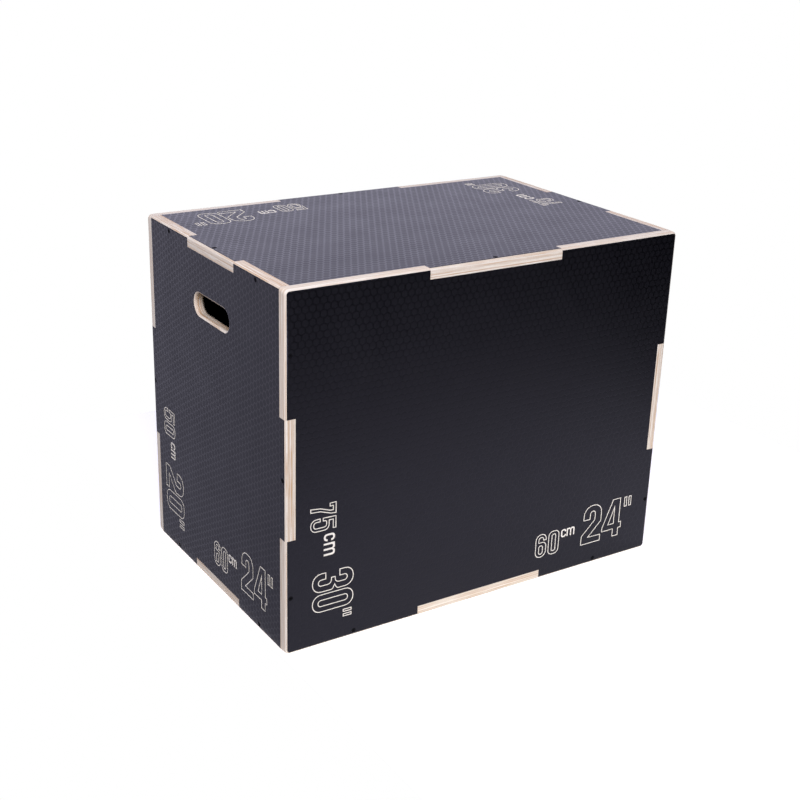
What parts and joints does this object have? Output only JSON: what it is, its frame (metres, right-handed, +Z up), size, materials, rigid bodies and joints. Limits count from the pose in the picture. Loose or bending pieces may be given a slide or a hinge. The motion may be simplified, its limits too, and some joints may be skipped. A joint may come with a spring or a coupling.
{
  "type": "plyo box",
  "caption": "Jump box of film-faced plywood boards in screwed finger joints, with rounded edges and a handle slot in each end, turned on its faces to change height.",
  "frame": {"origin": "centre of the box's footprint, on the surface that it stands on", "axes": "+X along the long edge, towards the right end; +Y from the front face to the back face; +Z up"},
  "size_m": [0.75, 0.5, 0.6],
  "materials": {
    "birch_plywood": "sanded, unvarnished birch plywood",
    "anti_slip_film": "dark grey phenolic film embossed with a hexagon lattice",
    "smooth_film": "smooth dark phenolic film",
    "screw_steel": "black phosphated steel"
  },
  "bodies": {
    "root": {"front_panel_core": "birch_plywood", "front_panel_outer_film": "anti_slip_film", "front_panel_inner_film": "smooth_film", "front_panel_screws": "screw_steel", "back_panel_core": "birch_plywood", "back_panel_outer_film": "anti_slip_film", "back_panel_inner_film": "smooth_film", "back_panel_screws": "screw_steel", "left_panel_core": "birch_plywood", "left_panel_outer_film": "anti_slip_film", "left_panel_inner_film": "smooth_film", "left_panel_screws": "screw_steel", "right_panel_core": "birch_plywood", "right_panel_outer_film": "anti_slip_film", "right_panel_inner_film": "smooth_film", "right_panel_screws": "screw_steel", "top_panel_core": "birch_plywood", "top_panel_outer_film": "anti_slip_film", "top_panel_inner_film": "smooth_film", "top_panel_screws": "screw_steel", "bottom_panel_core": "birch_plywood", "bottom_panel_outer_film": "anti_slip_film", "bottom_panel_inner_film": "smooth_film", "bottom_panel_screws": "screw_steel", "brace_core": "birch_plywood", "brace_left_film": "smooth_film", "brace_right_film": "smooth_film"}
  },
  "joints": []
}
